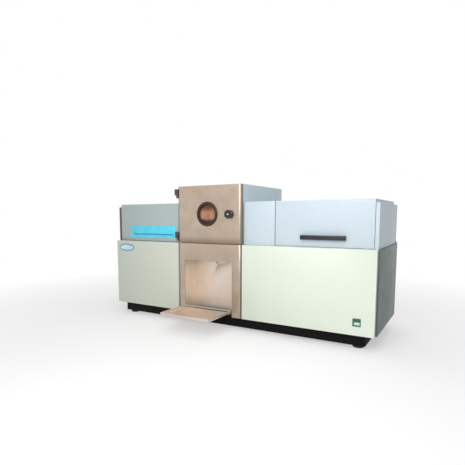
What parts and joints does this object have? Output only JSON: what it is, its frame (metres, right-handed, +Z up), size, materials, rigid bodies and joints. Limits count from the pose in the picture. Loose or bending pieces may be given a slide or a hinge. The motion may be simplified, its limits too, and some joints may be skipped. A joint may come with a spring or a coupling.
{
  "type": "flame spectrophotometer",
  "caption": "Bench-top flame atomic absorption spectrophotometer with a windowed steel burner door, fold-down sample tray, hinged lamp and optics covers.",
  "frame": {"origin": "under the middle of the whole machine, tray and rear fittings included, on the plane of the feet", "axes": "+X to the right of the front, +Y to the rear, +Z up"},
  "size_m": [1.03, 0.524, 0.509],
  "materials": {
    "black_paint": "satin, fine texture",
    "rubber": "matte",
    "zinc_steel": "zinc-plated sheet",
    "dark_green_paint": "satin, fine texture",
    "pale_green_paint": "satin, fine texture",
    "green_plastic": "gloss",
    "white_plastic": "gloss",
    "warm_steel": "fine brushed",
    "bright_steel": "ground",
    "blue_grey_paint": "satin, fine texture",
    "grille_steel": "punched",
    "black_anodised": "black anodised",
    "silica": "polished",
    "amber_glass": "polished, tinted",
    "black_plastic": "satin",
    "hinge_brown": "satin",
    "mauve_plastic": "fine texture",
    "lamp_glass": "polished",
    "titanium": "machined",
    "chamber_plastic": "moulded",
    "steel_turned": "turned",
    "cast_aluminium": "cast and machined",
    "grating_mirror": "ruled",
    "brass": "turned"
  },
  "bodies": {
    "cabinet": {"plinth": "black_paint", "rubber_feet": "rubber", "base_plate": "black_paint", "deck": "zinc_steel", "left_bulkhead": "zinc_steel", "right_bulkhead": "zinc_steel", "rear_panel": "zinc_steel", "left_side_panel": "dark_green_paint", "right_side_panel": "dark_green_paint", "lower_left_panel": "pale_green_paint", "lower_right_panel": "pale_green_paint", "switch_bezel": "green_plastic", "burner_fascia": "warm_steel", "recess_liner": "warm_steel", "sample_inlet": "warm_steel", "tray_hinge_pin": "bright_steel", "tower_housing": "blue_grey_paint", "exhaust_grille": "grille_steel", "heat_shield": "warm_steel", "beam_window_mounts": "black_anodised", "beam_windows": "silica", "door_hinge_brackets": "hinge_brown", "door_hinge_pins": "bright_steel", "hood_hinge_brackets": "zinc_steel", "hood_hinge_pins": "bright_steel", "left_end_cheek": "mauve_plastic", "right_end_cheek": "mauve_plastic", "fixed_cover": "blue_grey_paint", "turret_bracket": "zinc_steel", "turret_motor": "black_plastic", "lift_frame": "bright_steel", "monochromator_housing": "cast_aluminium", "monochromator_cover": "cast_aluminium", "collimating_mirror": "black_anodised", "detector_housing": "black_anodised", "fan_frame": "black_plastic", "gas_fittings": "brass", "power_inlet": "black_plastic"},
    "door": {"door_skin": "warm_steel", "door_liner": "warm_steel", "window_bezel": "warm_steel", "window_gasket": "rubber", "window_glass": "amber_glass", "door_knob": "black_plastic", "door_hinge_knuckles": "hinge_brown"},
    "tray": {"sample_tray": "warm_steel"},
    "lamp_cover": {"lamp_hood": "blue_grey_paint"},
    "spectrometer_cover": {"spectrometer_hood": "blue_grey_paint", "hood_handle": "black_plastic"},
    "rocker": {"power_rocker": "white_plastic"},
    "turret": {"lamp_turret": "black_anodised", "hollow_cathode_lamps": "lamp_glass"},
    "grating": {"grating_turntable": "black_anodised", "diffraction_grating": "grating_mirror"},
    "carriage": {"burner_carriage": "cast_aluminium", "spray_chamber": "chamber_plastic", "nebulizer": "steel_turned"},
    "burner": {"burner_head": "titanium"},
    "lift_wheel": {"lift_screw": "bright_steel"},
    "fan": {"fan_rotor": "black_plastic"}
  },
  "joints": [
    {"name": "door_swing", "type": "hinge", "parent": "cabinet", "child": "door", "pos_m": [-0.202, -0.102, 0.408], "axis": [0, 0, -1], "range_deg": [0, 100]},
    {"name": "tray_fold", "type": "hinge", "parent": "cabinet", "child": "tray", "pos_m": [-0.064, -0.1065, 0.0665], "axis": [-1, 0, 0], "range_deg": [0, 90]},
    {"name": "lamp_cover_lift", "type": "hinge", "parent": "cabinet", "child": "lamp_cover", "pos_m": [-0.35125, 0.232, 0.316], "axis": [-1, 0, 0], "range_deg": [0, 75]},
    {"name": "spectrometer_cover_lift", "type": "hinge", "parent": "cabinet", "child": "spectrometer_cover", "pos_m": [0.34375, 0.232, 0.316], "axis": [-1, 0, 0], "range_deg": [0, 75]},
    {"name": "rocker_tilt", "type": "hinge", "parent": "cabinet", "child": "rocker", "pos_m": [0.4595, -0.107, 0.086], "axis": [-1, 0, 0], "range_deg": [0, 14]},
    {"name": "turret_spin", "type": "hinge", "parent": "cabinet", "child": "turret", "pos_m": [-0.392, 0.08746, 0.372], "axis": [1, 0, 0], "range_deg": [0, 270]},
    {"name": "grating_turn", "type": "hinge", "parent": "cabinet", "child": "grating", "pos_m": [0.27, 0.103, 0.396], "axis": [0, 0, 1], "range_deg": [-10, 60]},
    {"name": "burner_lift", "type": "slide", "parent": "cabinet", "child": "carriage", "axis": [0, 0, 1], "range_m": [-0.003, 0.006]},
    {"name": "burner_turn", "type": "hinge", "parent": "carriage", "child": "burner", "pos_m": [-0.065, 0.058, 0.364], "axis": [0, 0, 1], "range_deg": [0, 90]},
    {"name": "lift_wheel_turn", "type": "hinge", "parent": "cabinet", "child": "lift_wheel", "pos_m": [-0.065, 0.144, 0.303], "axis": [0, 0, 1], "range_deg": [-91, 181]},
    {"name": "fan_spin", "type": "hinge", "parent": "cabinet", "child": "fan", "pos_m": [-0.35, 0.2365, 0.17], "axis": [0, 1, 0], "continuous": true}
  ],
  "couplings": [
    {"joint": "lift_wheel_turn", "follows": "burner_lift", "rad_per_m": 523.6}
  ]
}
